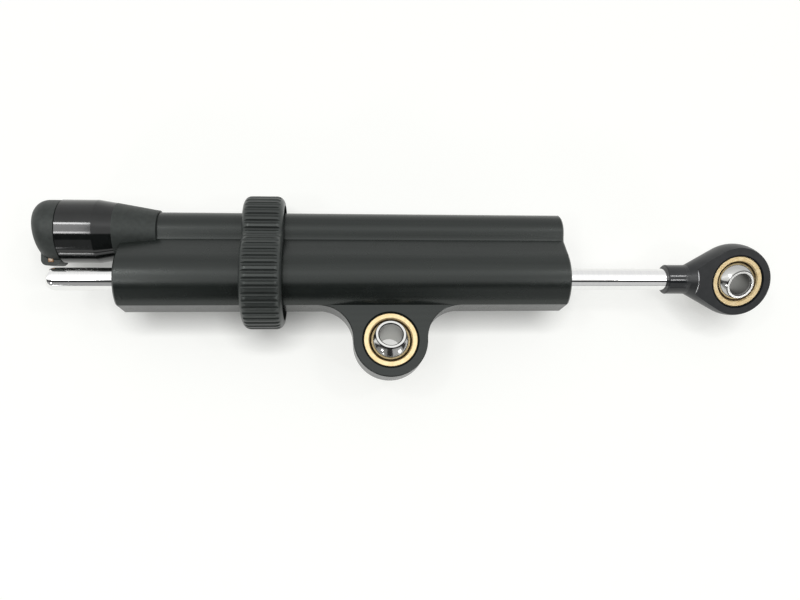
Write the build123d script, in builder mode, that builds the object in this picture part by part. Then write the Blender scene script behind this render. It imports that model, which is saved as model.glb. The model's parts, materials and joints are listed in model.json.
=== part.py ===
"""Motorcycle steering damper: a through-rod oil damper with an electric valve.

Millimetres. The origin is the centre of the bearing in the body's lug. +X runs along
the rod towards the rod end, +Y from the lug towards the rod and the valve tube, and
+Z along the lug's bolt, out of the face that is seen.
"""
import math
import os

from build123d import *

os.makedirs("parts", exist_ok=True)

# Fits
seat_gap = 0.01        # a pressed or bolted seat
sleeve_gap = 0.05      # a sleeve pushed over the body
running_gap = 0.03     # a sliding or turning fit, on the radius
clear_gap = 0.3        # pieces that pass each other
overrun = 1.0          # how far a cut runs past the metal

# Body
rod_height = 23.0      # rod axis above the lug's bearing
barrel_radius = 11.75
tube_radius = 6.9
lobe_overlap = 1.15    # how far the valve tube's circle runs into the barrel's
waist_radius = 4.5
body_left_reach = 93.2
end_chamfer = 0.6
bore_radius = 9.0
valve_bore_radius = 4.8
port_radius = 1.2

# Lug
lug_radius = 12.95
lug_thickness = 9.6
lug_side_round = 12.1
lug_edge_chamfer = 0.3

# Spherical bearings, the same in the lug and the rod end
bearing_bore = 8.0
bearing_outer = 19.0
bearing_width = 12.0
race_width = 9.0
race_mouth_chamfer = 0.7
race_edge_chamfer = 0.3
ball_diameter = 15.875
ball_chamfer = 0.45
liner_wall = 0.4
liner_width = 5.0
lug_ball_tilt = 16.0
lug_ball_direction = 90.0
rod_ball_tilt = 10.8
rod_ball_direction = -63.0

# Rod and rod end
rod_diameter = 8.0
rod_tip_gap = 0.2      # left outside the body when the rod is fully to the right
rod_tip_round = 3.2
rod_foot_chamfer = 0.6
rod_socket_depth = 9.0
collar_gap = 0.5       # between the rod end and the body when the rod is fully to the left
collar_chamfer = 0.4
neck_radius = 5.4
eye_setback = 26.45    # from the rod end's collar to the centre of its bearing
eye_radius = 13.4
eye_thickness = 9.6
eye_flat_reach = 15.8  # how far the milled flats run back from the bearing
eye_taper_angle = 28.0
eye_roll_angle = 26.5
flat_edge_chamfer = 0.3

# Travel of the rod from the place it is shown in
travel_left = 37.9
travel_right = 25.1
stop_gap = 0.3

# Glands
circlip_setback = 1.4
circlip_width = 1.0
circlip_groove_depth = 0.7
circlip_ring_width = 1.5
circlip_ear_radius = 1.5
circlip_hole_radius = 0.7
circlip_gap_angle = 40.0
gland_length = 24.0
gland_chamfer = 0.5
nose_length = 9.0
nose_radius = 7.5
wiper_depth = 3.0
wiper_radius = 6.6
bush_length = 11.0
bush_radius = 5.0
rod_seal_setback = 16.0
rod_seal_width = 3.0
rod_seal_radius = 6.9
seal_lip_depth = 0.5
gland_ring_setback = 7.0
gland_ring_width = 2.4
gland_ring_depth = 1.5

# Piston
piston_length = 20.2
piston_band_width = 7.0
piston_band_wall = 1.0
piston_ring_width = 2.2
piston_ring_section = 1.6
piston_chamfer = 0.8
clip_width = 1.2
clip_groove_depth = 0.6
clip_stand = 1.3

# Rubber band round the body
band_setback = 41.9
band_width = 14.3
band_stand = 6.0
band_wall = 3.2
band_web = 6.0
band_edge_round = 2.8
band_waist_round = 1.5
band_rib_count = 52
band_groove_radius = 0.85
band_groove_depth = 0.7

# Solenoid on the left end of the valve tube
solenoid_radius = 11.1
solenoid_length = 18.7
cone_length = 6.3
cone_end_radius = 10.05
solenoid_wall = 1.4
solenoid_floor = 0.8
solenoid_edge_chamfer = 0.4
flange_length = 2.0
flange_radius = 6.5
guide_radius = 3.6
guide_length = 15.0
bobbin_hub_wall = 0.8
bobbin_flange = 1.0
coil_margin = 0.6
cap_length = 8.5
cap_radius = 10.9
cap_face_angle = 10.0  # the end face leans, with its lower side nearer
cap_dome_round = 5.2
cap_spigot_length = 2.0
cap_spigot_wall = 2.0
tab_roll_angle = 14.5  # about the tube, away from +Z
tab_reach = 12.2
tab_setback = 1.8
tab_half_width = 3.5
tab_round = 2.0
lock_width = 1.8
lock_height = 2.2
lock_reach = 9.9
lock_inset = 1.2
lock_proud = 0.25
socket_length = 6.2
socket_width = 8.4
socket_wall = 1.0
socket_round = 1.6
socket_mouth = 12.4    # from the tube's axis to the mouth, towards -Z
socket_depth = 7.0
pin_width = 0.8
pin_length = 2.4
pin_root = 1.0
pin_pitch = 3.6

# Hood over the end of the valve tube
hood_length = 14.3
hood_rim_radius = 7.95
hood_rim_drop = 0.45   # the rim's centre below the tube's axis

# Valve in the left of the tube
spool_bore_radius = 2.5
spool_setback = 5.2
spool_port_gap = 0.4   # from the spool's working edge to the port when it is open
spool_neck_radius = 1.5
spool_neck_length = 5.0
plunger_radius = 2.9
plunger_length = 12.0
plunger_end_gap = 1.6
push_rod_radius = 0.9
guide_floor = 0.8
valve_ring_width = 1.8
valve_ring_depth = 0.9
first_ring_setback = 8.0
second_ring_setback = 24.0
cartridge_port_radius = 1.0
spring_seat_length = 1.5
spring_seat_hole = 0.9
spring_room = 6.2      # between the spool and the spring's seat
spring_wire = 0.5
spring_turns = 4
spring_end_gap = 0.1

# Floating piston and plug in the right of the tube
plug_length = 9.3
plug_setback = 0.5
plug_hex = 5.0
plug_hex_depth = 3.5
plug_chamfer = 0.4
plug_ring_setback = 5.6
float_length = 7.0
gas_length = 8.5       # between the floating piston and the plug
float_cup_depth = 4.0
float_cup_radius = 3.0

# Places worked out from the sizes above
tube_offset = barrel_radius + tube_radius - lobe_overlap
tube_height = rod_height + tube_offset
gland_stack = circlip_setback + circlip_width + gland_length + nose_length
end_room = gland_stack + stop_gap + clip_width
body_length = 2 * end_room + travel_left + piston_length + travel_right
body_left = -body_left_reach
body_right = body_left + body_length
flat_height = rod_height - math.sqrt(barrel_radius**2 - lug_thickness**2 / 4)
rod_radius = rod_diameter / 2
ball_radius = ball_diameter / 2
rod_left = body_left - travel_right - rod_tip_gap
collar_left = body_right + travel_left + collar_gap
eye_centre = collar_left + eye_setback
piston_left = body_left + end_room + travel_left
piston_middle = piston_left + piston_length / 2
piston_right = piston_left + piston_length
port_left = body_left + gland_stack - nose_length / 2
port_right = body_right - gland_stack + nose_length / 2
solenoid_right = body_left - flange_length
solenoid_left = solenoid_right - solenoid_length
rod_line = Axis((0, rod_height, 0), (1, 0, 0))
tube_line = Axis((0, tube_height, 0), (1, 0, 0))


def keep(piece, name):
    """Name a finished piece and write its file."""
    piece.part.label = name
    export_step(piece.part, f"parts/{name}.step")


def turned(points, line, start, way=1):
    """A piece turned about a line along X, from (distance along, radius) points."""
    height = line.position.Y
    outline = [(start + way * along, height + radius) for along, radius in points]
    with BuildPart() as piece:
        with BuildSketch():
            with BuildLine():
                Polyline(outline, close=True)
            make_face()
        revolve(axis=line)
    return piece


def o_ring(centre_x, line, inner, outer):
    """A round-section ring between two radii about a line along X."""
    section = (outer - inner) / 2 - seat_gap
    with BuildPart() as piece:
        with BuildSketch():
            with Locations((centre_x, line.position.Y + (inner + outer) / 2)):
                Circle(section)
        revolve(axis=line)
    return piece


def body_outline(grow, waist):
    """The body's section in Y and Z, with both lobes grown and the waist rounded."""
    with BuildSketch() as outline:
        with Locations((rod_height, 0)):
            Circle(barrel_radius + grow)
        with Locations((tube_height, 0)):
            Circle(tube_radius + grow)
        waist_corners = outline.vertices().sort_by(lambda corner: -abs(corner.Y))[:2]
        fillet(waist_corners, waist)
    return outline.sketch


def flattened(outline, grow):
    """A section of the body with the flat under its barrel cut along it."""
    with BuildSketch() as cut:
        add(outline)
        with Locations((flat_height - grow - barrel_radius, 0)):
            Rectangle(2 * barrel_radius, 2 * barrel_radius, mode=Mode.SUBTRACT)
    return cut.sketch


def bearing_plane(centre, roll):
    """The middle plane of a bearing, rolled about X."""
    angle = math.radians(roll)
    return Plane(origin=centre, x_dir=(1, 0, 0), z_dir=(0, -math.sin(angle), math.cos(angle)))


def tilted(plane, tilt, direction):
    """A bearing's plane leaning by tilt degrees towards a direction within it."""
    lean = math.radians(tilt)
    way = math.radians(direction)
    towards = plane.x_dir * math.cos(way) + plane.y_dir * math.sin(way)
    axis = plane.z_dir * math.cos(lean) + towards * math.sin(lean)
    return Plane(origin=plane.origin, x_dir=towards.cross(axis), z_dir=axis)


lug_plane = bearing_plane((0, 0, 0), 0)
eye_plane = bearing_plane((eye_centre, rod_height, 0), eye_roll_angle)

# Body: two fused tubes and a lug, bored for the rod and for the valve. The underside of
# the barrel is milled flat, as wide as the lug is thick, and runs into the lug's sides
lug_round_height = flat_height - lug_side_round
lug_round_reach = math.sqrt((lug_radius + lug_side_round) ** 2 - lug_round_height**2)
tangent_share = lug_radius / (lug_radius + lug_side_round)
tangent_reach = tangent_share * lug_round_reach
tangent_height = tangent_share * lug_round_height
web_points = [
    (-lug_round_reach, rod_height),
    (-lug_round_reach, lug_round_height),
    (-tangent_reach, tangent_height),
    (tangent_reach, tangent_height),
    (lug_round_reach, lug_round_height),
    (lug_round_reach, rod_height),
]
groove_radius = bore_radius + circlip_groove_depth
port_wall = tube_offset - bore_radius - valve_bore_radius
body_section = flattened(body_outline(0, waist_radius), 0)
with BuildPart() as body:
    with BuildSketch(Plane.XY):
        Circle(lug_radius)
        with BuildLine():
            Polyline(web_points, close=True)
        make_face()
        with Locations((lug_round_reach, lug_round_height), (-lug_round_reach, lug_round_height)):
            Circle(lug_side_round, mode=Mode.SUBTRACT)
    extrude(amount=lug_thickness / 2, both=True)
    chamfer(body.edges().filter_by(GeomType.CIRCLE), lug_edge_chamfer)
    with BuildSketch(Plane.YZ.offset(body_left)):
        add(body_section)
    extrude(amount=body_length)
    end_faces = body.faces().filter_by(Axis.X).sort_by(Axis.X)
    chamfer(end_faces[0].edges() + end_faces[-1].edges(), end_chamfer)
    with BuildSketch(Plane.XY):
        Circle(bearing_outer / 2)
    extrude(amount=lug_thickness, both=True, mode=Mode.SUBTRACT)
    with BuildSketch(Plane.YZ.offset(body_left - overrun)):
        with Locations((rod_height, 0)):
            Circle(bore_radius)
        with Locations((tube_height, 0)):
            Circle(valve_bore_radius)
    extrude(amount=body_length + 2 * overrun, mode=Mode.SUBTRACT)
    for groove_left in (body_left + circlip_setback, body_right - circlip_setback - circlip_width):
        with BuildSketch(Plane.YZ.offset(groove_left)):
            with Locations((rod_height, 0)):
                Circle(groove_radius)
        extrude(amount=circlip_width, mode=Mode.SUBTRACT)
    for port_x in (port_left, port_right):
        with BuildSketch(Plane.XZ.offset(-rod_height - bore_radius + overrun)):
            with Locations((port_x, 0)):
                Circle(port_radius)
        extrude(amount=-(port_wall + 2 * overrun), mode=Mode.SUBTRACT)
keep(body, "housing")

# Glands: a guide at each end with its bush, seals, ring and circlip
gland_radius = bore_radius - seat_gap
ring_floor = bore_radius - gland_ring_depth
gland_points = [
    (0, wiper_radius),
    (0, gland_radius - gland_chamfer),
    (gland_chamfer, gland_radius),
    (gland_ring_setback, gland_radius),
    (gland_ring_setback, ring_floor),
    (gland_ring_setback + gland_ring_width, ring_floor),
    (gland_ring_setback + gland_ring_width, gland_radius),
    (gland_length, gland_radius),
    (gland_length, nose_radius),
    (gland_length + nose_length, nose_radius),
    (gland_length + nose_length, rod_radius + clear_gap),
    (rod_seal_setback + rod_seal_width, rod_radius + clear_gap),
    (rod_seal_setback + rod_seal_width, rod_seal_radius),
    (rod_seal_setback, rod_seal_radius),
    (rod_seal_setback, rod_radius + clear_gap),
    (wiper_depth + bush_length, rod_radius + clear_gap),
    (wiper_depth + bush_length, bush_radius),
    (wiper_depth, bush_radius),
    (wiper_depth, wiper_radius),
]
lip = rod_radius + running_gap
wiper_points = [
    (seat_gap, lip),
    (seat_gap, lip + seal_lip_depth),
    (wiper_depth / 3, wiper_radius - seat_gap),
    (wiper_depth - seat_gap, wiper_radius - seat_gap),
    (wiper_depth - seat_gap, lip + seal_lip_depth),
    (wiper_depth / 2, lip + seal_lip_depth),
]
rod_seal_points = [
    (seat_gap, lip),
    (seat_gap, rod_seal_radius - seat_gap),
    (rod_seal_width - seat_gap, rod_seal_radius - seat_gap),
    (rod_seal_width - seat_gap, lip),
    (rod_seal_width * 2 / 3, lip + seal_lip_depth),
    (rod_seal_width / 3, lip + seal_lip_depth),
]
bush_points = [
    (seat_gap, lip),
    (seat_gap, bush_radius - seat_gap),
    (bush_length - seat_gap, bush_radius - seat_gap),
    (bush_length - seat_gap, lip),
]
circlip_outer = groove_radius - seat_gap
circlip_inner = circlip_outer - circlip_groove_depth - circlip_ring_width
ear_angle = circlip_gap_angle / 2 + math.degrees(circlip_ear_radius / circlip_inner)
half_gap = math.radians(circlip_gap_angle / 2)
gap_low = rod_height - 2 * circlip_outer * math.cos(half_gap)
gap_side = 2 * circlip_outer * math.sin(half_gap)
for side, face, way in (("left", body_left, 1), ("right", body_right, -1)):
    gland_face = face + way * (circlip_setback + circlip_width)
    gland = turned(gland_points, rod_line, gland_face, way)
    keep(gland, f"{side}_gland")
    bush = turned(bush_points, rod_line, gland_face + way * wiper_depth, way)
    keep(bush, f"{side}_bush")
    wiper = turned(wiper_points, rod_line, gland_face, way)
    keep(wiper, f"{side}_wiper")
    rod_seal = turned(rod_seal_points, rod_line, gland_face + way * rod_seal_setback, way)
    keep(rod_seal, f"{side}_rod_seal")
    ring_x = gland_face + way * (gland_ring_setback + gland_ring_width / 2)
    gland_ring = o_ring(ring_x, rod_line, ring_floor, bore_radius)
    keep(gland_ring, f"{side}_gland_ring")

    # Circlip: an open ring with two eared ends that a pair of pliers holds
    circlip_left = min(gland_face, gland_face - way * circlip_width)
    with BuildPart() as circlip:
        with BuildSketch(Plane.YZ.offset(circlip_left + seat_gap)):
            with Locations((rod_height, 0)):
                Circle(circlip_outer)
                Circle(circlip_inner, mode=Mode.SUBTRACT)
            with BuildLine():
                Polyline((rod_height, 0), (gap_low, gap_side), (gap_low, -gap_side), close=True)
            make_face(mode=Mode.SUBTRACT)
            with Locations((rod_height, 0)):
                with PolarLocations(circlip_inner, 2, 180 - ear_angle, 2 * ear_angle, endpoint=True):
                    Circle(circlip_ear_radius)
                    Circle(circlip_hole_radius, mode=Mode.SUBTRACT)
        extrude(amount=circlip_width - 2 * seat_gap)
    keep(circlip, f"{side}_circlip")

# Piston rod, with a round nose on the left and grooves for the piston's clips
clip_groove_radius = rod_radius - clip_groove_depth
rod_right = collar_left + rod_socket_depth
with BuildPart() as rod:
    with BuildSketch(Plane.YZ.offset(rod_left)):
        with Locations((rod_height, 0)):
            Circle(rod_radius)
    extrude(amount=rod_right - rod_left)
    rod_ends = rod.faces().filter_by(Axis.X).sort_by(Axis.X)
    fillet(rod_ends[0].edges(), rod_tip_round)
    rod_ends = rod.faces().filter_by(Axis.X).sort_by(Axis.X)
    chamfer(rod_ends[-1].edges(), rod_foot_chamfer)
    for groove_left in (piston_left - clip_width, piston_right):
        with BuildSketch(Plane.YZ.offset(groove_left)):
            with Locations((rod_height, 0)):
                Circle(rod_radius + overrun)
                Circle(clip_groove_radius, mode=Mode.SUBTRACT)
        extrude(amount=clip_width, mode=Mode.SUBTRACT)
keep(rod, "piston_rod")

# Piston, held on the rod by two clips, with a band over an O-ring
band_bottom = bore_radius - running_gap - piston_band_wall
ring_bottom = band_bottom - piston_ring_section
band_half = piston_band_width / 2
ring_half = piston_ring_width / 2
half = piston_length / 2
piston_radius = bore_radius - clear_gap
piston_points = [
    (0, rod_radius + seat_gap),
    (0, piston_radius - piston_chamfer),
    (piston_chamfer, piston_radius),
    (half - band_half - running_gap, piston_radius),
    (half - band_half - running_gap, band_bottom - running_gap),
    (half - ring_half - running_gap, band_bottom - running_gap),
    (half - ring_half - running_gap, ring_bottom - running_gap),
    (half + ring_half + running_gap, ring_bottom - running_gap),
    (half + ring_half + running_gap, band_bottom - running_gap),
    (half + band_half + running_gap, band_bottom - running_gap),
    (half + band_half + running_gap, piston_radius),
    (piston_length - piston_chamfer, piston_radius),
    (piston_length, piston_radius - piston_chamfer),
    (piston_length, rod_radius + seat_gap),
]
piston = turned(piston_points, rod_line, piston_left)
keep(piston, "piston")
piston_band_points = [
    (0, band_bottom),
    (0, band_bottom + piston_band_wall),
    (piston_band_width, band_bottom + piston_band_wall),
    (piston_band_width, band_bottom),
]
piston_band = turned(piston_band_points, rod_line, piston_middle - band_half)
keep(piston_band, "piston_band")
piston_ring = o_ring(piston_middle, rod_line, ring_bottom, band_bottom)
keep(piston_ring, "piston_ring")
with BuildPart() as clips:
    for clip_left in (piston_left - clip_width, piston_right):
        with BuildSketch(Plane.YZ.offset(clip_left + seat_gap)):
            with Locations((rod_height, 0)):
                Circle(clip_groove_radius + seat_gap + clip_groove_depth + clip_stand)
                Circle(clip_groove_radius + seat_gap, mode=Mode.SUBTRACT)
            with Locations((rod_height - rod_diameter, 0)):
                Rectangle(2 * rod_diameter, rod_radius, mode=Mode.SUBTRACT)
        extrude(amount=clip_width - 2 * seat_gap)
keep(clips, "piston_clips")

# Rod end: turned as a ball on a tapered neck, then milled flat on both sides of the eye
taper = math.radians(eye_taper_angle)
taper_x = eye_centre - eye_radius * math.sin(taper)
taper_height = eye_radius * math.cos(taper)
neck_right = taper_x - (taper_height - neck_radius) / math.tan(taper)
ball_tip = (eye_centre + eye_radius, rod_height)
with BuildPart() as rod_end:
    with BuildSketch():
        with BuildLine():
            Polyline(
                (collar_left, rod_height),
                (collar_left, rod_height + neck_radius - collar_chamfer),
                (collar_left + collar_chamfer, rod_height + neck_radius),
                (neck_right, rod_height + neck_radius),
                (taper_x, rod_height + taper_height),
            )
            CenterArc((eye_centre, rod_height), eye_radius, 0, 90 + eye_taper_angle)
            Line(ball_tip, (collar_left, rod_height))
        make_face()
    revolve(axis=rod_line)
    flat_left = eye_centre - eye_flat_reach
    for side in (1, -1):
        with BuildSketch(eye_plane.offset(side * eye_thickness / 2)):
            Rectangle(2 * eye_flat_reach, 2 * (eye_radius + overrun))
        extrude(amount=side * eye_radius, mode=Mode.SUBTRACT)
    steps = rod_end.edges().filter_by(GeomType.CIRCLE).filter_by(
        lambda edge: abs(edge.arc_center.X - flat_left) < seat_gap
    )
    chamfer(steps, flat_edge_chamfer)
    with BuildSketch(Plane.YZ.offset(collar_left - overrun)):
        with Locations((rod_height, 0)):
            Circle(rod_radius + seat_gap)
    extrude(amount=rod_socket_depth + overrun + seat_gap, mode=Mode.SUBTRACT)
    with BuildSketch(eye_plane):
        Circle(bearing_outer / 2)
    extrude(amount=eye_thickness, both=True, mode=Mode.SUBTRACT)
keep(rod_end, "rod_end")


def bearing(plane, tilt, direction, prefix):
    """Race, liner and ball of a spherical bearing, with the ball leaning as given."""
    liner_inner = ball_radius + running_gap
    liner_outer = liner_inner + liner_wall
    with BuildPart(plane) as race:
        Cylinder(bearing_outer / 2 - seat_gap, race_width)
        Sphere(liner_outer + running_gap, mode=Mode.SUBTRACT)
        rims = race.edges().filter_by(GeomType.CIRCLE).sort_by(lambda edge: edge.radius)
        chamfer(rims[:2], race_mouth_chamfer)
        rims = race.edges().filter_by(GeomType.CIRCLE).sort_by(lambda edge: edge.radius)
        chamfer(rims[-2:], race_edge_chamfer)
    keep(race, f"{prefix}_race")
    with BuildPart(plane) as liner:
        Sphere(liner_outer)
        Cylinder(ball_diameter, liner_width, mode=Mode.INTERSECT)
        Sphere(liner_inner, mode=Mode.SUBTRACT)
    keep(liner, f"{prefix}_liner")
    with BuildPart(tilted(plane, tilt, direction)) as ball:
        Sphere(ball_radius)
        Cylinder(ball_diameter, bearing_width, mode=Mode.INTERSECT)
        Cylinder(bearing_bore / 2, bearing_width + overrun, mode=Mode.SUBTRACT)
        mouths = ball.edges().filter_by(GeomType.CIRCLE).filter_by(
            lambda edge: abs(edge.radius - bearing_bore / 2) < seat_gap
        )
        chamfer(mouths, ball_chamfer)
    keep(ball, f"{prefix}_ball")


bearing(lug_plane, lug_ball_tilt, lug_ball_direction, "lug")
bearing(eye_plane, rod_ball_tilt, rod_ball_direction, "rod_end")

# Ribbed rubber band that follows both lobes of the body
band_outline = body_outline(band_stand, band_waist_round)
rib_line = offset(band_outline, band_groove_radius - band_groove_depth).wire()
rib_places = [rib_line @ (rib / band_rib_count) for rib in range(band_rib_count)]
band_left = body_left + band_setback
band_recess = (band_width - band_web) / 2
band_inside = flattened(body_outline(sleeve_gap, waist_radius - sleeve_gap), sleeve_gap)
recess_outline = body_outline(band_stand - band_wall, waist_radius - band_stand + band_wall)
with BuildPart() as band:
    with BuildSketch(Plane.YZ.offset(band_left)):
        add(band_outline)
    extrude(amount=band_width)
    fillet(band.faces().filter_by(Axis.X).edges(), band_edge_round)
    with BuildSketch(Plane.YZ.offset(band_left - overrun)):
        with Locations(rib_places):
            Circle(band_groove_radius)
    extrude(amount=band_width + 2 * overrun, mode=Mode.SUBTRACT)
    with BuildSketch(Plane.YZ.offset(band_left - overrun)):
        add(band_inside)
    extrude(amount=band_width + 2 * overrun, mode=Mode.SUBTRACT)
    for recess_left in (band_left - overrun, band_left + band_width - band_recess):
        with BuildSketch(Plane.YZ.offset(recess_left)):
            add(recess_outline)
        extrude(amount=band_recess + overrun, mode=Mode.SUBTRACT)
keep(band, "bumper_band")

# Solenoid: housing, bobbin and winding, end cap with its socket, pins and lock
solenoid_points = [
    (0, solenoid_radius - solenoid_wall),
    (0, solenoid_radius - solenoid_edge_chamfer),
    (solenoid_edge_chamfer, solenoid_radius),
    (solenoid_length - cone_length, solenoid_radius),
    (solenoid_length, cone_end_radius),
    (solenoid_length, guide_radius + seat_gap),
    (solenoid_length - solenoid_floor, guide_radius + seat_gap),
    (solenoid_length - solenoid_floor, cone_end_radius - solenoid_wall),
    (solenoid_length - cone_length, solenoid_radius - solenoid_wall),
]
solenoid = turned(solenoid_points, tube_line, solenoid_left)
keep(solenoid, "solenoid_housing")
bobbin_right = solenoid_right - solenoid_floor - seat_gap
bobbin_left = solenoid_left + cap_spigot_length + seat_gap
bobbin_length = bobbin_right - bobbin_left
hub_radius = guide_radius + seat_gap + bobbin_hub_wall
bobbin_radius = cone_end_radius - solenoid_wall - seat_gap
bobbin_points = [
    (0, guide_radius + seat_gap),
    (0, bobbin_radius),
    (bobbin_flange, bobbin_radius),
    (bobbin_flange, hub_radius),
    (bobbin_length - bobbin_flange, hub_radius),
    (bobbin_length - bobbin_flange, bobbin_radius),
    (bobbin_length, bobbin_radius),
    (bobbin_length, guide_radius + seat_gap),
]
bobbin = turned(bobbin_points, tube_line, bobbin_left)
keep(bobbin, "coil_bobbin")
coil_length = bobbin_length - 2 * bobbin_flange
coil_points = [
    (seat_gap, hub_radius + seat_gap),
    (seat_gap, bobbin_radius - coil_margin),
    (coil_length - seat_gap, bobbin_radius - coil_margin),
    (coil_length - seat_gap, hub_radius + seat_gap),
]
coil = turned(coil_points, tube_line, bobbin_left + bobbin_flange)
keep(coil, "coil_winding")

tab_roll = math.radians(tab_roll_angle)
tab_towards = (0, -math.sin(tab_roll), math.cos(tab_roll))
cap_left = solenoid_left - cap_length
tab_plane = Plane(origin=(cap_left, tube_height, 0), x_dir=(1, 0, 0), z_dir=tab_towards)
tab_out = Axis(tab_plane.origin, tab_plane.z_dir)
tab_down = Axis(tab_plane.origin, -tab_plane.y_dir)
tab_length = cap_length - tab_setback
tab_middle = tab_setback + tab_length / 2
cap_lean = math.radians(cap_face_angle)
cap_face = Plane(
    origin=tab_plane.origin,
    z_dir=-tab_plane.x_dir * math.cos(cap_lean) - tab_plane.y_dir * math.sin(cap_lean),
)
spigot_radius = solenoid_radius - solenoid_wall - seat_gap
socket_middle = solenoid_left - socket_wall - socket_length / 2
with BuildPart() as cap:
    with BuildSketch(Plane.YZ.offset(solenoid_left)):
        with Locations((tube_height, 0)):
            Circle(cap_radius)
    extrude(amount=-(cap_length + cap_radius))
    split(bisect_by=cap_face, keep=Keep.BOTTOM)
    fillet(cap.edges().sort_by(Axis.X)[0], cap_dome_round)
    with BuildSketch(Plane.XY.offset(-socket_mouth)):
        with Locations((socket_middle, tube_height)):
            RectangleRounded(
                socket_length + 2 * socket_wall,
                socket_width + 2 * socket_wall,
                socket_round + socket_wall / 2,
            )
    extrude(amount=socket_mouth)
    with BuildSketch(tab_plane.offset(-tab_half_width)):
        with Locations((tab_middle, -tab_reach / 2)):
            Rectangle(tab_length, tab_reach)
    extrude(amount=2 * tab_half_width)
    tab_foot = cap.faces().filter_by(tab_down).sort_by(tab_down)[-1]
    fillet(tab_foot.edges().filter_by(tab_out), tab_round)
    with BuildSketch(Plane.YZ.offset(solenoid_left)):
        with Locations((tube_height, 0)):
            Circle(spigot_radius)
            Circle(spigot_radius - cap_spigot_wall, mode=Mode.SUBTRACT)
    extrude(amount=cap_spigot_length)
    with BuildSketch(Plane.XY.offset(-socket_mouth - overrun)):
        with Locations((socket_middle, tube_height)):
            RectangleRounded(socket_length, socket_width, socket_round)
    extrude(amount=socket_depth + overrun, mode=Mode.SUBTRACT)
    with BuildSketch(Plane.XY.offset(-socket_mouth + socket_depth)):
        with Locations((socket_middle, tube_height)):
            with GridLocations(pin_pitch, pin_pitch, 1, 2):
                Rectangle(pin_width, pin_width)
    extrude(amount=pin_root, mode=Mode.SUBTRACT)
    with BuildSketch(tab_plane.offset(tab_half_width - lock_inset)):
        with Locations((tab_middle, -lock_reach)):
            Rectangle(lock_width, lock_height)
    extrude(amount=lock_inset + overrun, mode=Mode.SUBTRACT)
keep(cap, "connector_cap")
with BuildPart() as pins:
    with BuildSketch(Plane.XY.offset(-socket_mouth + socket_depth - pin_length)):
        with Locations((socket_middle, tube_height)):
            with GridLocations(pin_pitch, pin_pitch, 1, 2):
                Rectangle(pin_width - 2 * seat_gap, pin_width - 2 * seat_gap)
    extrude(amount=pin_length + pin_root - seat_gap)
keep(pins, "terminal_pins")
with BuildPart() as lock:
    with BuildSketch(tab_plane.offset(tab_half_width - lock_inset + seat_gap)):
        with Locations((tab_middle, -lock_reach)):
            Rectangle(lock_width - 2 * seat_gap, lock_height - 2 * seat_gap)
    extrude(amount=lock_inset + lock_proud)
    chamfer(lock.faces().sort_by(tab_out)[-1].edges(), lock_proud / 2)
keep(lock, "connector_lock")

# Tapered hood that closes the joint between the solenoid and the valve tube
hood_inside = body_outline(sleeve_gap, waist_radius - sleeve_gap)
with BuildPart() as hood:
    with BuildSketch(Plane.YZ.offset(solenoid_right)):
        with Locations((tube_height, 0)):
            Circle(cone_end_radius)
    with BuildSketch(Plane.YZ.offset(solenoid_right + hood_length)):
        with Locations((tube_height - hood_rim_drop, 0)):
            Circle(hood_rim_radius)
    loft()
    with BuildSketch(Plane.YZ.offset(solenoid_right - overrun)):
        with Locations((tube_height, 0)):
            Circle(flange_radius + sleeve_gap)
    extrude(amount=flange_length + 2 * overrun, mode=Mode.SUBTRACT)
    with BuildSketch(Plane.YZ.offset(body_left - sleeve_gap)):
        add(hood_inside)
    extrude(amount=hood_length + overrun, mode=Mode.SUBTRACT)
keep(hood, "tube_hood")

# Valve: cartridge with its rings, spool, plunger, spring and spring seat
spool_right = port_left - cartridge_port_radius - spool_port_gap
seat_left = spool_right + spring_room
cartridge_length = seat_left + spring_seat_length - body_left
cartridge_radius = valve_bore_radius - seat_gap
valve_floor = valve_bore_radius - valve_ring_depth
step_flange = guide_length + flange_length
ring_setbacks = (first_ring_setback, second_ring_setback)
cartridge_points = [
    (0, 0),
    (0, guide_radius),
    (guide_length, guide_radius),
    (guide_length, flange_radius),
    (step_flange, flange_radius),
    (step_flange, cartridge_radius),
]
for place in ring_setbacks:
    cartridge_points += [
        (step_flange + place, cartridge_radius),
        (step_flange + place, valve_floor),
        (step_flange + place + valve_ring_width, valve_floor),
        (step_flange + place + valve_ring_width, cartridge_radius),
    ]
cartridge_points += [
    (step_flange + cartridge_length, cartridge_radius),
    (step_flange + cartridge_length, spool_bore_radius),
    (step_flange, spool_bore_radius),
    (step_flange, plunger_radius + running_gap),
    (guide_floor, plunger_radius + running_gap),
    (guide_floor, 0),
]
cartridge_left = body_left - step_flange
cartridge_solid = turned(cartridge_points, tube_line, cartridge_left)
with BuildPart() as cartridge:
    add(cartridge_solid.part)
    with BuildSketch(Plane.XZ.offset(-tube_height)):
        with Locations((port_left, 0)):
            Circle(cartridge_port_radius)
    extrude(amount=2 * valve_bore_radius, both=True, mode=Mode.SUBTRACT)
keep(cartridge, "valve_cartridge")
ring_solids = [
    o_ring(body_left + place + valve_ring_width / 2, tube_line, valve_floor, valve_bore_radius).part
    for place in ring_setbacks
]
with BuildPart() as valve_rings:
    add(ring_solids)
keep(valve_rings, "valve_rings")
spool_left = body_left + spool_setback
spool_length = spool_right - spool_left
spool_radius = spool_bore_radius - running_gap
spool_points = [
    (0, 0),
    (0, spool_radius),
    (spool_length / 2 - spool_neck_length / 2, spool_radius),
    (spool_length / 2 - spool_neck_length / 2, spool_neck_radius),
    (spool_length / 2 + spool_neck_length / 2, spool_neck_radius),
    (spool_length / 2 + spool_neck_length / 2, spool_radius),
    (spool_length, spool_radius),
    (spool_length, 0),
]
spool = turned(spool_points, tube_line, spool_left)
keep(spool, "valve_spool")
plunger_left = cartridge_left + guide_floor + plunger_end_gap
push_rod_length = spool_left - plunger_left - plunger_length
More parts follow.
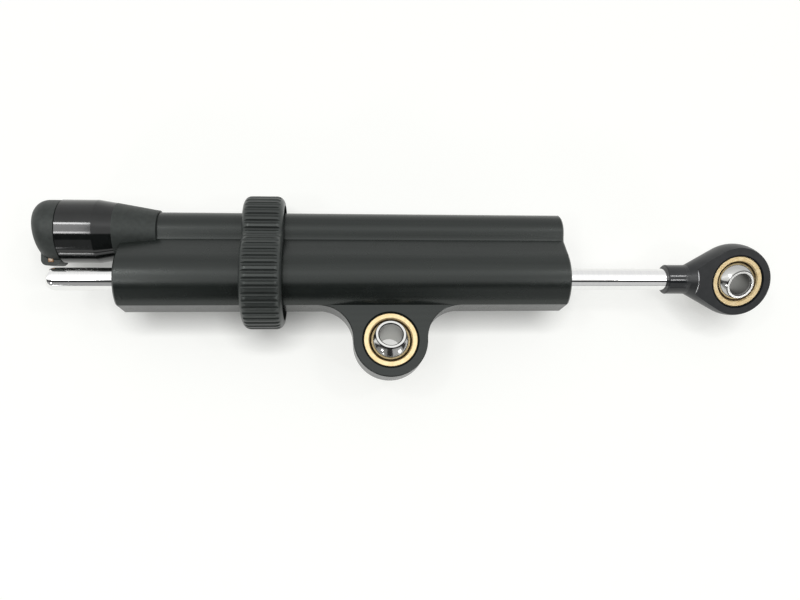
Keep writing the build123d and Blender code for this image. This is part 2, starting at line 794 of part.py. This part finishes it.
plunger_points = [
    (0, 0),
    (0, plunger_radius),
    (plunger_length, plunger_radius),
    (plunger_length, push_rod_radius),
    (plunger_length + push_rod_length, push_rod_radius),
    (plunger_length + push_rod_length, 0),
]
plunger = turned(plunger_points, tube_line, plunger_left)
keep(plunger, "valve_plunger")
seat_points = [
    (0, spring_seat_hole),
    (0, spool_bore_radius - seat_gap),
    (spring_seat_length, spool_bore_radius - seat_gap),
    (spring_seat_length, spring_seat_hole),
]
spring_seat = turned(seat_points, tube_line, seat_left)
keep(spring_seat, "spring_seat")
spring_left = spool_right + spring_end_gap + spring_wire / 2
spring_run = seat_left - spring_end_gap - spring_wire / 2 - spring_left
spring_radius = spool_radius - running_gap - spring_wire
spring_path = Plane.YZ.offset(spring_left) * Pos(tube_height, 0, 0) * Helix(
    spring_run / spring_turns, spring_run, spring_radius
)
with BuildPart() as spring:
    with BuildSketch(Plane(origin=spring_path @ 0, z_dir=spring_path % 0)):
        Circle(spring_wire / 2)
    sweep(path=spring_path)
keep(spring, "valve_spring")

# Floating piston that takes up the oil's expansion, and the plug behind it
ring_section_floor = valve_bore_radius - running_gap - valve_ring_depth
float_radius = valve_bore_radius - clear_gap
float_half = float_length / 2
float_points = [
    (0, 0),
    (0, float_radius),
    (float_half - valve_ring_width / 2, float_radius),
    (float_half - valve_ring_width / 2, ring_section_floor),
    (float_half + valve_ring_width / 2, ring_section_floor),
    (float_half + valve_ring_width / 2, float_radius),
    (float_length, float_radius),
    (float_length, float_cup_radius),
    (float_length - float_cup_depth, float_cup_radius),
    (float_length - float_cup_depth, 0),
]
plug_right = body_right - plug_setback
float_left = plug_right - plug_length - gas_length - float_length
floating_piston = turned(float_points, tube_line, float_left)
keep(floating_piston, "floating_piston")
float_ring = o_ring(
    float_left + float_half, tube_line, ring_section_floor, valve_bore_radius - running_gap
)
keep(float_ring, "floating_piston_ring")
plug_radius = valve_bore_radius - seat_gap
plug_floor = valve_bore_radius - valve_ring_depth
plug_points = [
    (0, 0),
    (0, plug_radius - plug_chamfer),
    (plug_chamfer, plug_radius),
    (plug_ring_setback, plug_radius),
    (plug_ring_setback, plug_floor),
    (plug_ring_setback + valve_ring_width, plug_floor),
    (plug_ring_setback + valve_ring_width, plug_radius),
    (plug_length, plug_radius),
    (plug_length, 0),
]
plug_solid = turned(plug_points, tube_line, plug_right, -1)
with BuildPart() as plug:
    add(plug_solid.part)
    with BuildSketch(Plane.YZ.offset(plug_right - plug_hex_depth)):
        with Locations((tube_height, 0)):
            RegularPolygon(plug_hex / 2, 6, major_radius=False)
    extrude(amount=plug_hex_depth + overrun, mode=Mode.SUBTRACT)
keep(plug, "tube_plug")
plug_ring = o_ring(
    plug_right - plug_ring_setback - valve_ring_width / 2, tube_line, plug_floor, valve_bore_radius
)
keep(plug_ring, "plug_ring")
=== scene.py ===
"""Looks of the motorcycle steering damper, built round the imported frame. Metres."""

import json
import math

import bmesh
import bpy
from mathutils import Matrix, Vector


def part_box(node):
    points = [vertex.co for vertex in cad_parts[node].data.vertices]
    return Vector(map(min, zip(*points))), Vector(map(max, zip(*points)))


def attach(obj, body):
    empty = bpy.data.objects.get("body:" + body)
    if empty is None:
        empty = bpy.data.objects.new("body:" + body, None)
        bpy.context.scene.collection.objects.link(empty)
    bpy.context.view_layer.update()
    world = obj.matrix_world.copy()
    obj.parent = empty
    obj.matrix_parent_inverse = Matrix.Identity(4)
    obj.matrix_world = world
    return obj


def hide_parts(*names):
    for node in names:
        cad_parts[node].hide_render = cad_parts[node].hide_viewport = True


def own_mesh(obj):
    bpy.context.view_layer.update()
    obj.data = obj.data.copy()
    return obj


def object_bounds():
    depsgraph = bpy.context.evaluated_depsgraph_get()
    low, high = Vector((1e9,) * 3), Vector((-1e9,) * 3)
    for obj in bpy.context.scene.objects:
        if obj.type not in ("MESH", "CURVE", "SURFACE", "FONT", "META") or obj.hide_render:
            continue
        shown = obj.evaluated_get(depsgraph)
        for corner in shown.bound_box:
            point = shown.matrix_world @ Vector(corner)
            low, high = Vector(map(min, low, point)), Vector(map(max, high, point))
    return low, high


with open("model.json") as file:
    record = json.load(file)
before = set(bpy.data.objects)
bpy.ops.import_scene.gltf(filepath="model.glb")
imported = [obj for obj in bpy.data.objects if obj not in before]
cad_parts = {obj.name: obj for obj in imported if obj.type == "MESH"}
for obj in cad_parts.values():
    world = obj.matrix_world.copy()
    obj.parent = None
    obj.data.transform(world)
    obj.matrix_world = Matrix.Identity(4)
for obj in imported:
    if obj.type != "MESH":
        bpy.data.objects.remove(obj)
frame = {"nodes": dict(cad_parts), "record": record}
cad_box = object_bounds()
nodes = frame["nodes"]
MM = 0.001

# Camera, from the fit to the photograph
IMAGE_WIDTH = 800
SENSOR_WIDTH = 36.0
FOCAL_PIXELS = 699.1
CLIP_START = 10 * MM
VIEW_ROLL = -0.253
VIEW_TURN = 0.085
VIEW_SPIN = 0.002
VIEW_CENTRE = Vector((4.05, 23.0, 0.0)) * MM
VIEW_DROP = 7.49 * MM
VIEW_DISTANCE = 251.67 * MM
to_camera = (
    Matrix.Rotation(VIEW_SPIN, 3, "Z")
    @ Matrix.Rotation(VIEW_TURN, 3, "Y")
    @ Matrix.Rotation(VIEW_ROLL, 3, "X")
)
from_camera = to_camera.transposed()
RIGHT = from_camera @ Vector((1, 0, 0))
UP = from_camera @ Vector((0, 1, 0))
TOWARDS = from_camera @ Vector((0, 0, 1))


def place_camera():
    data = bpy.data.cameras.new("camera")
    data.sensor_width = SENSOR_WIDTH
    data.lens = FOCAL_PIXELS / IMAGE_WIDTH * SENSOR_WIDTH
    data.clip_start = CLIP_START
    camera = bpy.data.objects.new("camera", data)
    bpy.context.scene.collection.objects.link(camera)
    place = VIEW_CENTRE + from_camera @ Vector((0, -VIEW_DROP, VIEW_DISTANCE))
    camera.matrix_world = Matrix.Translation(place) @ from_camera.to_4x4()
    bpy.context.scene.camera = camera


class Shading:
    """A node tree under construction."""

    def __init__(self, tree):
        self.tree = tree

    def node(self, kind, **settings):
        made = self.tree.nodes.new(f"ShaderNode{kind}")
        for setting, value in settings.items():
            setattr(made, setting, value)
        return made

    def feed(self, socket, value):
        """Links another node's output to a socket, or gives the socket a value of its own."""
        if isinstance(value, bpy.types.NodeSocket):
            self.tree.links.new(value, socket)
        else:
            socket.default_value = value

    def reckon(self, operation, *values):
        """A value worked out from others."""
        made = self.node("Math", operation=operation)
        for socket, value in zip(made.inputs, values):
            self.feed(socket, value)
        return made.outputs[0]

    def vector(self, operation, *values):
        """The node of a step of vector arithmetic."""
        made = self.node("VectorMath", operation=operation)
        for socket, value in zip(made.inputs, values):
            self.feed(socket, value)
        return made

    def highest(self, outputs):
        result = outputs[0]
        for output in outputs[1:]:
            result = self.reckon("MAXIMUM", result, output)
        return result

    def spread(self, value, low, high, start=0.0, end=1.0):
        """Goes from low to high as the value goes from start to end."""
        made = self.node("MapRange")
        made.inputs["From Min"].default_value = start
        made.inputs["From Max"].default_value = end
        made.inputs["To Min"].default_value = low
        made.inputs["To Max"].default_value = high
        self.feed(made.inputs["Value"], value)
        return made.outputs["Result"]

    def ramp(self, value, stops):
        """Colours that follow the value, from stops of a place and a colour."""
        made = self.node("ValToRGB")
        elements = made.color_ramp.elements
        while len(elements) < len(stops):
            elements.new(0.5)
        for element, (place, colour) in zip(elements, stops):
            element.position = place
            element.color = (*colour, 1)
        self.feed(made.inputs["Fac"], value)
        return made.outputs["Color"]


# Plain whites of the surroundings, slightly warm
WHITE = (0.985, 0.99, 0.965, 1)
PAPER = (0.86, 0.865, 0.845)

LAMP_DISTANCE = 1.0

# Lamps: angles above the camera's line, then to its right, all in degrees, and radiance
LAMPS = {
    "left_low_strip": (-11.5, -5.5, -26.6, -19.6, 14.0),
    "left_high_strip": (20.0, 26.0, -26.6, -19.6, 18.0),
    "left_panel": (-5.5, 20.0, -26.6, -19.6, 3.6),
    "right_low_strip": (-9.5, -5.0, 31.0, 39.0, 18.0),
    "right_high_strip": (23.5, 28.5, 31.0, 39.0, 18.0),
    "left_front_panel": (-74.0, -34.0, -60.0, -12.0, 0.32),
    "right_front_panel": (-74.0, -33.0, 12.0, 60.0, 0.6),
    "left_front_lamp": (-49.5, -42.5, -38.0, -32.5, 20.0),
    "left_low_lamp": (-67.5, -63.0, -28.0, -25.0, 7.0),
    "right_front_lamp": (-72.0, -52.0, 38.0, 50.0, 4.0),
}

# Room round the object: angle above the camera's line, in degrees, and its brightness there
ROOM = (
    (-180, 0.9),
    (-78, 0.9),
    (-76, 0.04),
    (-16, 0.04),
    (-12, 1.1),
    (8, 1.2),
    (20, 1.7),
    (36, 1.2),
    (60, 0.9),
    (180, 0.9),
)

# Share of the room's light that matt surfaces get
ROOM_ON_MATT = 0.62


def add_lamp(name, low, high, left, right, radiance):
    """A flat lamp along the camera's horizontal that fills a window of angles."""
    lean = math.radians((low + high) / 2)
    away = TOWARDS * math.cos(lean) + UP * math.sin(lean)
    left_reach = LAMP_DISTANCE * math.tan(math.radians(left))
    right_reach = LAMP_DISTANCE * math.tan(math.radians(right))
    data = bpy.data.lights.new(name, "AREA")
    data.shape = "RECTANGLE"
    data.size = right_reach - left_reach
    data.size_y = 2 * LAMP_DISTANCE * math.tan(math.radians(high - low) / 2)
    data.energy = radiance * math.pi * data.size * data.size_y
    lamp = bpy.data.objects.new(name, data)
    bpy.context.scene.collection.objects.link(lamp)
    turn = Matrix((RIGHT, away.cross(RIGHT), away)).transposed().to_4x4()
    place = VIEW_CENTRE + away * LAMP_DISTANCE + RIGHT * (left_reach + right_reach) / 2
    lamp.matrix_world = Matrix.Translation(place) @ turn
    lamp.visible_camera = False


def light_studio():
    """White surroundings with a dark side, and lamps that leave crisp lines on gloss."""
    for name, lamp in LAMPS.items():
        add_lamp(name, *lamp)
    world = bpy.data.worlds.new("studio")
    bpy.context.scene.world = world
    world.use_nodes = True
    world.node_tree.nodes.clear()
    shading = Shading(world.node_tree)
    place = shading.node("TexCoord").outputs["Generated"]
    sides = [shading.vector("DOT_PRODUCT", place, way).outputs["Value"] for way in (UP, TOWARDS)]
    angle = shading.reckon("ARCTAN2", *sides)
    stops = [((degrees + 180) / 360, (level,) * 3) for degrees, level in ROOM]
    colour = shading.ramp(shading.spread(angle, 0.0, 1.0, -math.pi, math.pi), stops)
    rays = shading.node("LightPath").outputs
    room = shading.node("Background")
    shading.feed(room.inputs["Color"], colour)
    strength = shading.spread(rays["Is Diffuse Ray"], 1.0, ROOM_ON_MATT)
    shading.feed(room.inputs["Strength"], strength)
    white = shading.node("Background")
    white.inputs["Color"].default_value = WHITE
    mix = shading.node("MixShader")
    seen = shading.highest([rays["Is Camera Ray"], rays["Is Transmission Ray"]])
    shading.feed(mix.inputs[0], seen)
    shading.feed(mix.inputs[1], room.outputs[0])
    shading.feed(mix.inputs[2], white.outputs[0])
    shading.feed(shading.node("OutputWorld").inputs["Surface"], mix.outputs[0])


FLOOR_SIZE = 4.0
FLOOR_GAP = 0.2 * MM

# The paper's own glow, its diffuse share where it is seen, and the shadow round what is near
FLOOR_GLOW = 0.68
FLOOR_SHADE = 0.45
CONTACT_REACH = 13 * MM
CONTACT_POWER = 1.7


def lay_floor():
    """White paper that keeps the object's soft shadow and shows white in reflections."""
    mesh = bpy.data.meshes.new("floor")
    signs = ((-1, -1), (1, -1), (1, 1), (-1, 1))
    corners = [(x * FLOOR_SIZE, y * FLOOR_SIZE, 0) for x, y in signs]
    mesh.from_pydata(corners, [], [(0, 1, 2, 3)])
    floor = bpy.data.objects.new("floor", mesh)
    bpy.context.scene.collection.objects.link(floor)
    floor.location = (0, 0, cad_box[0][2] - FLOOR_GAP)
    material = bpy.data.materials.new("floor_paper")
    material.use_nodes = True
    material.node_tree.nodes.clear()
    shading = Shading(material.node_tree)
    rays = shading.node("LightPath").outputs
    kinds = ("Is Camera Ray", "Is Glossy Ray", "Is Transmission Ray")
    seen = shading.highest([rays[kind] for kind in kinds])
    shade = shading.vector("SCALE", PAPER)
    shading.feed(shade.inputs["Scale"], shading.spread(seen, 1.0, FLOOR_SHADE))
    paper = shading.node("BsdfDiffuse")
    shading.feed(paper.inputs["Color"], shade.outputs["Vector"])
    # Painted shadow: the paper's glow dims where the object is near
    contact = shading.node("AmbientOcclusion")
    contact.inputs["Distance"].default_value = CONTACT_REACH
    open_share = shading.reckon("POWER", contact.outputs["AO"], CONTACT_POWER)
    level = shading.reckon("MULTIPLY", open_share, seen)
    glow = shading.node("Emission")
    glow.inputs["Color"].default_value = WHITE
    shading.feed(glow.inputs["Strength"], shading.reckon("MULTIPLY", level, FLOOR_GLOW))
    both = shading.node("AddShader")
    shading.feed(both.inputs[0], paper.outputs[0])
    shading.feed(both.inputs[1], glow.outputs[0])
    shading.feed(shading.node("OutputMaterial").inputs["Surface"], both.outputs[0])
    mesh.materials.append(material)


# Faint green in the reflections of the dark finishes
DARK_TINT = (0.95, 1.0, 0.97, 1)

# Zones of a ball by their distance from its bore's axis, as a share of its radius, and how
# pale each is: bore in painted shade, dark chamfer as painted shade, end face painted bright
# as a highlight, dark edge as painted shade, and sphere. The bore's painted shade has a tone
# of its own.
BORE_EDGE = 0.512
RIM_EDGE = 0.562
BALL_ZONES = (
    (0.0, None),
    (BORE_EDGE, None),
    (0.518, 0.03),
    (0.548, 0.03),
    (RIM_EDGE, 0.92),
    (0.65, 0.92),
    (0.66, 0.12),
    (0.685, 0.12),
    (0.71, 0.52),
)
BORE_ROUGHNESS = 0.45
BALL_ROUGHNESS = 0.14
STEEL_BLUE = 0.97

# The dark line round each race
RACE_RADIUS = 9.5 * MM
RACE_LINE = 0.5 * MM
LINE_FADE = 0.1 * MM
PLAIN_GLOSS = 0.5

# X along the rod end, between the gloss of its neck and the satin of its head
NECK_END = 107.8 * MM
HEAD_START = 109.5 * MM
NECK_ROUGHNESS = 0.1
HEAD_ROUGHNESS = 0.38

# Painted shade in the band's grooves: how near a groove's walls darken the band, and how
# open its grooves' bottoms and crests are
GROOVE_REACH = 0.9 * MM
GROOVE_OPEN = 0.7
CREST_OPEN = 0.96
CREST_GLOSS = 0.55


def ball_axis(mesh):
    """The direction of a round piece's bore, which is square to its flat end faces."""
    areas = {}
    for face in mesh.polygons:
        direction = tuple(round(part, 2) for part in face.normal)
        areas[direction] = areas.get(direction, 0.0) + face.area
    return Vector(max(areas, key=areas.get)).normalized()


def middle(node):
    low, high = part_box(node)
    return (Vector(low) + Vector(high)) / 2


class Surface(Shading):
    """A material under construction: a principled shader and the textures that feed it."""

    def __init__(self, name, metallic, roughness, **sockets):
        self.material = bpy.data.materials.new(name)
        self.material.use_nodes = True
        super().__init__(self.material.node_tree)
        self.inputs = self.tree.nodes["Principled BSDF"].inputs
        self.place = self.node("TexCoord").outputs["Object"]
        self.inputs["Metallic"].default_value = metallic
        self.inputs["Roughness"].default_value = roughness
        for socket, value in sockets.items():
            self.inputs[socket.replace("_", " ")].default_value = value

    def grain(self, size, stretch=(1, 1, 1), detail=3.0):
        """Noise whose features are about size metres wide, longer where stretch is over 1."""
        mapping = self.node("Mapping")
        mapping.inputs["Scale"].default_value = [1 / (size * longer) for longer in stretch]
        noise = self.node("TexNoise")
        noise.inputs["Scale"].default_value = 1.0
        noise.inputs["Detail"].default_value = detail
        self.feed(mapping.inputs["Vector"], self.place)
        self.feed(noise.inputs["Vector"], mapping.outputs[0])
        return noise.outputs["Fac"]

    def off_axis(self, node):
        """The distance from the axis of a round node, in metres."""
        from_centre = self.vector("SUBTRACT", self.place, middle(node))
        across = self.vector("CROSS_PRODUCT", from_centre.outputs[0], ball_axis(nodes[node].data))
        return self.vector("LENGTH", across.outputs[0]).outputs["Value"]

    def line_round(self, race):
        """A dull dark line round a race, with no specular reflection out to a little past its
        edge.
        """
        line_end = RACE_RADIUS + RACE_LINE
        gloss = self.spread(self.off_axis(race), 0.0, PLAIN_GLOSS, line_end - LINE_FADE, line_end)
        self.feed(self.inputs["Specular IOR Level"], gloss)

    def colours(self, value, dark, light, low=0.35, high=0.65):
        self.feed(self.inputs["Base Color"], self.ramp(value, ((low, dark), (high, light))))

    def roughness(self, value, low, high):
        self.feed(self.inputs["Roughness"], self.spread(value, low, high))

    def bump(self, value, depth, strength):
        bump = self.node("Bump")
        bump.inputs["Distance"].default_value = depth
        bump.inputs["Strength"].default_value = strength
        self.feed(bump.inputs["Height"], value)
        self.feed(self.inputs["Normal"], bump.outputs["Normal"])


def black_anodised():
    """Satin anodised aluminium, drawn along the body, with a fine grain."""
    surface = Surface("black_anodised", 0.0, 0.3, Specular_Tint=DARK_TINT)
    drawn = surface.grain(1.2 * MM, stretch=(40, 1, 1), detail=4.0)
    surface.colours(drawn, dark=(0.0065, 0.0082, 0.0074), light=(0.0105, 0.013, 0.0118))
    surface.roughness(surface.grain(4 * MM), low=0.21, high=0.31)
    surface.bump(surface.grain(0.12 * MM, detail=2.0), depth=0.004 * MM, strength=0.5)
    surface.line_round("lug_race")
    return surface.material


def rod_end_black():
    """The rod end's black finish: smooth on the turned neck, satin on the milled head."""
    surface = Surface("rod_end_black", 0.0, 0.12)
    patches = surface.grain(3 * MM)
    surface.colours(patches, dark=(0.010, 0.0115, 0.0125), light=(0.015, 0.0165, 0.018))
    along = surface.node("SeparateXYZ")
    surface.feed(along.inputs[0], surface.place)
    satin = surface.spread(
        along.outputs["X"], NECK_ROUGHNESS, HEAD_ROUGHNESS, NECK_END, HEAD_START
    )
    surface.feed(surface.inputs["Roughness"], satin)
    surface.bump(surface.grain(0.2 * MM), depth=0.002 * MM, strength=0.3)
    surface.line_round("rod_end_race")
    return surface.material


def hard_chrome():
    """Ground and chromed rod, with faint rings left by the grinding."""
    surface = Surface("hard_chrome", 1.0, 0.08)
    rings = surface.grain(0.25 * MM, stretch=(1, 60, 60), detail=2.0)
    surface.colours(rings, dark=(0.83, 0.83, 0.83), light=(0.87, 0.87, 0.86))
    surface.roughness(surface.grain(2 * MM), low=0.05, high=0.1)
    surface.bump(rings, depth=0.0002 * MM, strength=0.15)
    return surface.material


def bearing_steel(node, bore_shade):
    """A ball with a satin sphere, polished end faces painted bright as a highlight, and a duller
    bore in painted shade with painted dark edges.
    """
    centre = middle(node)
    radius = max((vertex.co - centre).length for vertex in nodes[node].data.vertices)
    surface = Surface(f"{node}_steel", 1.0, 0.15)
    share = surface.reckon("DIVIDE", surface.off_axis(node), radius)
    stops = []
    # Each zone's paleness is painted light and shade; the bore's tone is painted shade
    for place, tone in BALL_ZONES:
        level = bore_shade if tone is None else tone
        stops.append((place, (level, level, level * STEEL_BLUE)))
    surface.feed(surface.inputs["Base Color"], surface.ramp(share, stops))
    dull = surface.spread(share, BORE_ROUGHNESS, BALL_ROUGHNESS, BORE_EDGE, RIM_EDGE)
    surface.feed(surface.inputs["Roughness"], dull)
    surface.bump(surface.grain(0.4 * MM), depth=0.0002 * MM, strength=0.1)
    return surface.material


def gold_race():
    """Pale gold plating with a matt face."""
    surface = Surface("gold_race", 0.9, 0.45)
    surface.colours(surface.grain(1.2 * MM), dark=(0.78, 0.6, 0.32), light=(0.88, 0.72, 0.44))
    surface.roughness(surface.grain(0.6 * MM), low=0.4, high=0.55)
    surface.bump(surface.grain(0.2 * MM), depth=0.004 * MM, strength=0.4)
    return surface.material


def rubber(name, dark, light, low, high):
    surface = Surface(name, 0.0, 0.45)
    surface.colours(surface.grain(2 * MM), dark, light)
    surface.roughness(surface.grain(1.5 * MM), low, high)
    surface.bump(surface.grain(0.25 * MM), depth=0.02 * MM, strength=0.4)
    return surface.material


def band_rubber():
    """Rubber with painted shade: dull, dark groove bottoms and smoother, paler crests."""
    surface = Surface("band_rubber", 0.0, 0.4, Specular_Tint=DARK_TINT)
    # Painted shade: the nearness of a groove's walls darkens its colour and gloss
    grooves = surface.node("AmbientOcclusion")
    grooves.inputs["Distance"].default_value = GROOVE_REACH
    openness = grooves.outputs["AO"]
    dark = (0.002, 0.0021, 0.002)
    light = (0.024, 0.0275, 0.026)
    surface.colours(openness, dark, light, GROOVE_OPEN, CREST_OPEN)
    gloss = surface.spread(openness, 0.0, CREST_GLOSS, GROOVE_OPEN, CREST_OPEN)
    surface.feed(surface.inputs["Specular IOR Level"], gloss)
    surface.roughness(surface.grain(1.5 * MM), low=0.26, high=0.4)
    surface.bump(surface.grain(0.25 * MM), depth=0.015 * MM, strength=0.4)
    return surface.material


def gloss_black():
    """Smooth glossy black can."""
    surface = Surface("gloss_black", 0.0, 0.08)
    patches = surface.grain(3 * MM)
    surface.colours(patches, dark=(0.0037, 0.0045, 0.0042), light=(0.0062, 0.0073, 0.007))
    surface.roughness(surface.grain(2 * MM), low=0.06, high=0.1)
    surface.bump(surface.grain(1.2 * MM), depth=0.001 * MM, strength=0.2)
    return surface.material


def black_plastic():
    """Matt moulded plastic with a fine spark-eroded texture."""
    surface = Surface("black_plastic", 0.0, 0.5, Specular_Tint=DARK_TINT)
    patches = surface.grain(1.6 * MM)
    surface.colours(patches, dark=(0.012, 0.0143, 0.013), light=(0.021, 0.025, 0.023))
    surface.roughness(surface.grain(1 * MM), low=0.42, high=0.58)
    surface.bump(surface.grain(0.18 * MM, detail=2.0), depth=0.01 * MM, strength=0.6)
    return surface.material


def amber_plastic(node):
    """The lock's plastic, pale in the middle and deeper at its edges."""
    low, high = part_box(node)
    half = (Vector(high) - Vector(low)) / 2
    surface = Surface("amber_plastic", 0.0, 0.4, Subsurface_Weight=0.1)
    away = surface.vector("SUBTRACT", surface.place, middle(node))
    share = surface.vector("DIVIDE", away.outputs[0], (half.x, half.y, 1))
    reach = surface.vector("LENGTH", share.outputs[0]).outputs["Value"]
    surface.colours(reach, (0.95, 0.74, 0.56), (0.32, 0.13, 0.03), low=0.4, high=1.0)
    surface.bump(surface.grain(0.2 * MM), depth=0.01 * MM, strength=0.4)
    return surface.material


def machined(name, dark, light, low, high):
    """Turned or ground metal with fine lines round the X axis."""
    surface = Surface(name, 1.0, 0.3)
    lines = surface.grain(0.2 * MM, stretch=(1, 30, 30), detail=2.0)
    surface.colours(lines, dark, light)
    surface.roughness(surface.grain(1 * MM), low, high)
    surface.bump(lines, depth=0.003 * MM, strength=0.4)
    return surface.material


MATERIALS = {
    "black_anodised": black_anodised(),
    "hard_chrome": hard_chrome(),
    "gold_race": gold_race(),
    "gloss_black": gloss_black(),
    "black_plastic": black_plastic(),
    "amber_plastic": amber_plastic("connector_lock"),
    "band_rubber": band_rubber(),
}

# Plain soft and metal finishes: a dark and a light tone, and the lowest and highest
# roughness
SOFT_FINISHES = {
    "seal_rubber": ((0.014, 0.014, 0.014), (0.02, 0.02, 0.02), 0.4, 0.55),
    "slide_plastic": ((0.12, 0.08, 0.04), (0.2, 0.13, 0.07), 0.4, 0.55),
}
METAL_FINISHES = {
    "plain_aluminium": ((0.66, 0.66, 0.67), (0.78, 0.78, 0.79), 0.25, 0.4),
    "spring_steel": ((0.3, 0.3, 0.31), (0.42, 0.42, 0.43), 0.3, 0.45),
    "valve_steel": ((0.46, 0.46, 0.47), (0.58, 0.58, 0.59), 0.2, 0.35),
    "tinned_pins": ((0.55, 0.55, 0.53), (0.68, 0.68, 0.66), 0.3, 0.4),
    "bronze": ((0.5, 0.33, 0.15), (0.66, 0.46, 0.23), 0.35, 0.5),
    "copper_wire": ((0.5, 0.24, 0.12), (0.68, 0.36, 0.2), 0.25, 0.4),
}
for name, finish in SOFT_FINISHES.items():
    MATERIALS[name] = rubber(name, *finish)
for name, finish in METAL_FINISHES.items():
    MATERIALS[name] = machined(name, *finish)

# Nodes whose finish differs from the rest of their slot; each ball with the tone of its bore's
# painted shade
OWN_FINISH = {
    "rod_end": rod_end_black(),
    "lug_ball": bearing_steel("lug_ball", 0.43),
    "rod_end_ball": bearing_steel("rod_end_ball", 0.27),
}


def dress_nodes():
    for part in frame["record"]["subparts"]:
        finish = OWN_FINISH.get(part["node"]) or MATERIALS[part["material_slot"]]
        for slot in nodes[part["node"]].material_slots:
            slot.material = finish


def skin(build, rings):
    """Faces from each ring of corners to the next, and one over either end."""
    for ring, after in zip(rings, rings[1:]):
        for corner, vertex in enumerate(ring):
            build.faces.new((vertex, ring[corner - 1], after[corner - 1], after[corner]))
    build.faces.new(rings[0])
    build.faces.new(rings[-1])


def finish_piece(build, name, finish):
    """The built faces as an object in the scene, with one of the finishes."""
    bmesh.ops.recalc_face_normals(build, faces=build.faces)
    mesh = bpy.data.meshes.new(name)
    build.to_mesh(mesh)
    build.free()
    mesh.materials.append(MATERIALS[finish])
    piece = bpy.data.objects.new(name, mesh)
    bpy.context.scene.collection.objects.link(piece)
    return piece


# Body section, measured from the rod's axis: sizes as in the solids
ROD_AXIS_Y = 23.0 * MM
BARREL_RADIUS = 11.75 * MM
TUBE_RADIUS = 6.9 * MM
LOBE_DISTANCE = 17.5 * MM
WAIST_RADIUS = 4.5 * MM

# Flat flanks that run from the barrel up to the valve tube, with rounded ends
FLANK_TOP = 12.9 * MM
FLANK_ROOT = (9.8 * MM, 5.2 * MM)
END_ROUND = 0.8 * MM

# How far in from its end a flank's rounding is, and how far it has sunk there
END_STEPS = ((0.0, 1.0), (0.1, 0.55), (0.4, 0.2), (1.0, 0.0))


def flank_section():
    """The front flank's corners in Y and Z from the rod's axis, and its outward direction."""
    to_round = BARREL_RADIUS + WAIST_RADIUS
    from_tube = TUBE_RADIUS + WAIST_RADIUS
    round_y = (LOBE_DISTANCE**2 + to_round**2 - from_tube**2) / (2 * LOBE_DISTANCE)
    round_z = math.sqrt(to_round**2 - round_y**2)
    top_z = round_z - math.sqrt(WAIST_RADIUS**2 - (FLANK_TOP - round_y) ** 2)
    reach = math.hypot(FLANK_TOP, top_z)
    foot = math.atan2(top_z, FLANK_TOP) + math.acos(BARREL_RADIUS / reach)
    outward = (math.cos(foot), math.sin(foot))
    foot_point = (BARREL_RADIUS * outward[0], BARREL_RADIUS * outward[1])
    return [(FLANK_TOP, top_z), foot_point, FLANK_ROOT], outward


def add_flanks():
    """Flat flanks between both lobes of the body, on its front and on its back."""
    corners, outward = flank_section()
    low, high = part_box("housing")
    left = [(low.x + along * END_ROUND, sink * END_ROUND) for along, sink in END_STEPS]
    right = [(high.x - along * END_ROUND, sink * END_ROUND) for along, sink in END_STEPS]
    build = bmesh.new()
    for side in (1, -1):
        rings = []
        for x, drop in left + right[::-1]:
            ring = []
            for y, z in corners:
                height = ROD_AXIS_Y + y - drop * outward[0]
                depth = side * (z - drop * outward[1])
                ring.append(build.verts.new((x, height, depth)))
            rings.append(ring)
        skin(build, rings)
    flanks = finish_piece(build, "body_flanks", "black_anodised")
    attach(flanks, "body")


# The rod end's step, where both flats end at the neck: the arc of its edge round the rod
STEP_X = 112.68 * MM
STEP_RADIUS = 6.53 * MM
STEP_MIDDLE = math.radians(-26.57)
STEP_REACH = math.radians(42.0)

# The painted highlight along that edge, a thin bead of bright steel: its thickness, the
# share left at its tips, how fast it grows from there, and its divisions
HIGHLIGHT_RADIUS = 0.2 * MM
HIGHLIGHT_TIP = 0.2
HIGHLIGHT_GROWTH = 6
HIGHLIGHT_PARTS = 40
HIGHLIGHT_CORNERS = 8


def add_edge_highlights():
    """A painted highlight: a thin bead of bright steel along the edge of the rod end's step, on
    both of its sides.
    """
    build = bmesh.new()
    for side in (0, math.pi):
        rings = []
        for part in range(HIGHLIGHT_PARTS + 1):
            share = part / HIGHLIGHT_PARTS
            turn = side + STEP_MIDDLE + STEP_REACH * (2 * share - 1)
            thick = HIGHLIGHT_RADIUS * min(1, HIGHLIGHT_TIP + HIGHLIGHT_GROWTH * min(share, 1 - share))
            ring = []
            for corner in range(HIGHLIGHT_CORNERS):
                angle = 2 * math.pi * corner / HIGHLIGHT_CORNERS
                x = STEP_X + thick * math.cos(angle)
                reach = STEP_RADIUS + thick * math.sin(angle)
                height = ROD_AXIS_Y + reach * math.sin(turn)
                ring.append(build.verts.new((x, height, reach * math.cos(turn))))
            rings.append(ring)
        skin(build, rings)
    for face in build.faces:
        face.smooth = True
    # The bead's bright steel is a painted highlight line
    edges = finish_piece(build, "rod_end_edge_highlights", "valve_steel")
    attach(edges, "rod")


def compress_spring():
    """A copy of the valve's spring in spring steel, riding on the body in place of the spring
    itself.
    """
    spring = bpy.data.objects.new("valve_spring_coil", nodes["valve_spring"].data.copy())
    bpy.context.scene.collection.objects.link(spring)
    spring.data.materials.clear()
    spring.data.materials.append(MATERIALS["spring_steel"])
    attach(spring, "body")
    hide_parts("valve_spring")
    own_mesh(spring)


bpy.context.scene.view_settings.view_transform = "Standard"
place_camera()
light_studio()
lay_floor()
dress_nodes()
add_flanks()
add_edge_highlights()
compress_spring()
